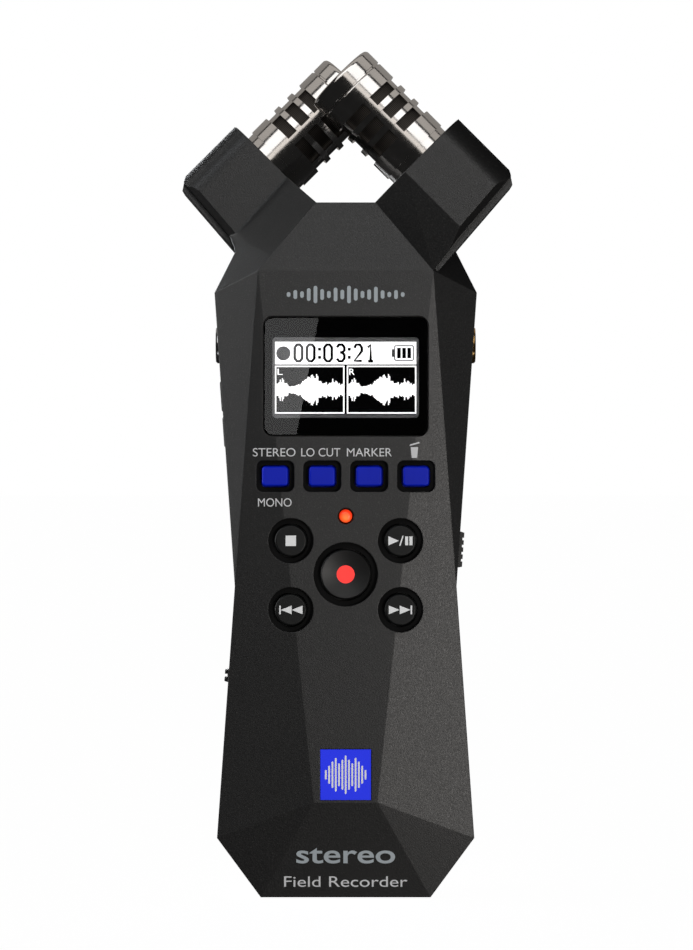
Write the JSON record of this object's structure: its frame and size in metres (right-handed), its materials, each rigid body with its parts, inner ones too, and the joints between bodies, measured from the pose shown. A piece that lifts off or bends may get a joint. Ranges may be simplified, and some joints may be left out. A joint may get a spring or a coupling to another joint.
{
  "type": "portable field recorder",
  "caption": "Hand-held stereo field recorder: faceted black casing, two crossed microphone capsules on arms, small display, keys, record button, side jacks and switches, cell bay behind.",
  "frame": {"origin": "middle of the foot end, on the seam plane between the two shells", "axes": "+Z along the recorder's length towards the microphones, -Y out of the front with the display and keys, +X to the right as seen from the front"},
  "size_m": [0.0556, 0.0296, 0.1417],
  "materials": {
    "casing_plastic": "fine moulded grain, black",
    "button_plastic": "smooth satin black",
    "key_plastic": "satin blue",
    "badge_print": "printed blue with pale bars",
    "window_acrylic": "glossy black acrylic",
    "lcd_glass": "white on black display",
    "stamped_steel": "stamped and plated",
    "capsule_nickel": "polished nickel plate",
    "capsule_mesh": "dark woven mesh",
    "element_aluminium": "drawn can",
    "soft_rubber": "matt silicone",
    "board_laminate": "solder mask over laminate",
    "component_black": "moulded black",
    "ring_silver": "bright plated",
    "ring_gold": "gold flash",
    "red_lens": "clear red, lit",
    "cell_wrap": "printed wrap, plain",
    "screw_steel": "black zinc",
    "insert_brass": "turned"
  },
  "bodies": {
    "casing": {"aaa_cells": "cell_wrap", "badge_plate": "badge_print", "battery_contacts": "stamped_steel", "battery_springs": "stamped_steel", "board_chips": "component_black", "board_screws": "screw_steel", "card_door_pin": "stamped_steel", "card_socket": "stamped_steel", "case_screws": "screw_steel", "display_gasket": "soft_rubber", "display_window": "window_acrylic", "front_shell": "casing_plastic", "keypad_sheet": "soft_rubber", "lamp_lens": "red_lens", "lcd_frame": "stamped_steel", "lcd_module": "lcd_glass", "left_capsule_cap": "capsule_nickel", "left_capsule_collar": "soft_rubber", "left_capsule_element": "element_aluminium", "left_capsule_mesh": "capsule_mesh", "left_capsule_shell": "capsule_nickel", "line_out_jack": "component_black", "line_out_ring": "ring_silver", "main_board": "board_laminate", "mic_in_jack": "component_black", "mic_in_ring": "ring_gold", "power_switch_body": "component_black", "rear_shell": "casing_plastic", "right_capsule_cap": "capsule_nickel", "right_capsule_collar": "soft_rubber", "right_capsule_element": "element_aluminium", "right_capsule_mesh": "capsule_mesh", "right_capsule_shell": "capsule_nickel", "speaker": "component_black", "speaker_gasket": "soft_rubber", "strap_bar": "casing_plastic", "tripod_insert": "insert_brass", "usb_c_receptacle": "stamped_steel"},
    "key_stereo_cap": {"key_stereo": "key_plastic"},
    "key_low_cut_cap": {"key_low_cut": "key_plastic"},
    "key_marker_cap": {"key_marker": "key_plastic"},
    "key_delete_cap": {"key_delete": "key_plastic"},
    "stop_button_cap": {"stop_button": "button_plastic"},
    "play_button_cap": {"play_button": "button_plastic"},
    "rewind_button_cap": {"rewind_button": "button_plastic"},
    "forward_button_cap": {"forward_button": "button_plastic"},
    "volume_up_button_cap": {"volume_up_button": "button_plastic"},
    "volume_down_button_cap": {"volume_down_button": "button_plastic"},
    "record_cap": {"record_button": "button_plastic", "record_light_guide": "red_lens"},
    "switch_knob": {"power_switch_knob": "button_plastic"},
    "card_flap": {"card_door": "casing_plastic"},
    "card": {"microsd_card": "component_black"},
    "cell_cover": {"battery_cover": "casing_plastic"}
  },
  "joints": [
    {"name": "key_stereo_press", "type": "slide", "parent": "casing", "child": "key_stereo_cap", "axis": [0, 1, 0], "range_m": [0, 0.0005], "stiffness_N_per_m": 600},
    {"name": "key_low_cut_press", "type": "slide", "parent": "casing", "child": "key_low_cut_cap", "axis": [0, 1, 0], "range_m": [0, 0.0005], "stiffness_N_per_m": 600},
    {"name": "key_marker_press", "type": "slide", "parent": "casing", "child": "key_marker_cap", "axis": [0, 1, 0], "range_m": [0, 0.0005], "stiffness_N_per_m": 600},
    {"name": "key_delete_press", "type": "slide", "parent": "casing", "child": "key_delete_cap", "axis": [0, 1, 0], "range_m": [0, 0.0005], "stiffness_N_per_m": 600},
    {"name": "stop_button_press", "type": "slide", "parent": "casing", "child": "stop_button_cap", "axis": [0, 1, 0], "range_m": [0, 0.0005], "stiffness_N_per_m": 600},
    {"name": "play_button_press", "type": "slide", "parent": "casing", "child": "play_button_cap", "axis": [0, 1, 0], "range_m": [0, 0.0005], "stiffness_N_per_m": 600},
    {"name": "rewind_button_press", "type": "slide", "parent": "casing", "child": "rewind_button_cap", "axis": [0, 1, 0], "range_m": [0, 0.0005], "stiffness_N_per_m": 600},
    {"name": "forward_button_press", "type": "slide", "parent": "casing", "child": "forward_button_cap", "axis": [0, 1, 0], "range_m": [0, 0.0005], "stiffness_N_per_m": 600},
    {"name": "record_button_press", "type": "slide", "parent": "casing", "child": "record_cap", "axis": [0, 1, 0], "range_m": [0, 0.0005], "stiffness_N_per_m": 700},
    {"name": "volume_up_button_press", "type": "slide", "parent": "casing", "child": "volume_up_button_cap", "axis": [0.9975, 0, 0.0711], "range_m": [0, 0.0004], "stiffness_N_per_m": 700},
    {"name": "volume_down_button_press", "type": "slide", "parent": "casing", "child": "volume_down_button_cap", "axis": [0.9975, 0, 0.0711], "range_m": [0, 0.0004], "stiffness_N_per_m": 700},
    {"name": "card_push", "type": "slide", "parent": "casing", "child": "card", "axis": [-1, 0, 0], "range_m": [0, 0.0006], "stiffness_N_per_m": 400},
    {"name": "power_slide", "type": "slide", "parent": "casing", "child": "switch_knob", "axis": [0.0711, 0, 0.9975], "range_m": [-0.002, 0.002]},
    {"name": "card_door_swing", "type": "hinge", "parent": "casing", "child": "card_flap", "pos_m": [0.01906, -0.001, 0.03365], "axis": [-0.0711, 0, 0.9975], "range_deg": [0, 95]},
    {"name": "battery_cover_swing", "type": "hinge", "parent": "casing", "child": "cell_cover", "pos_m": [0, 0.0117, 0.02075], "axis": [-1, 0, 0], "range_deg": [0, 75]}
  ]
}
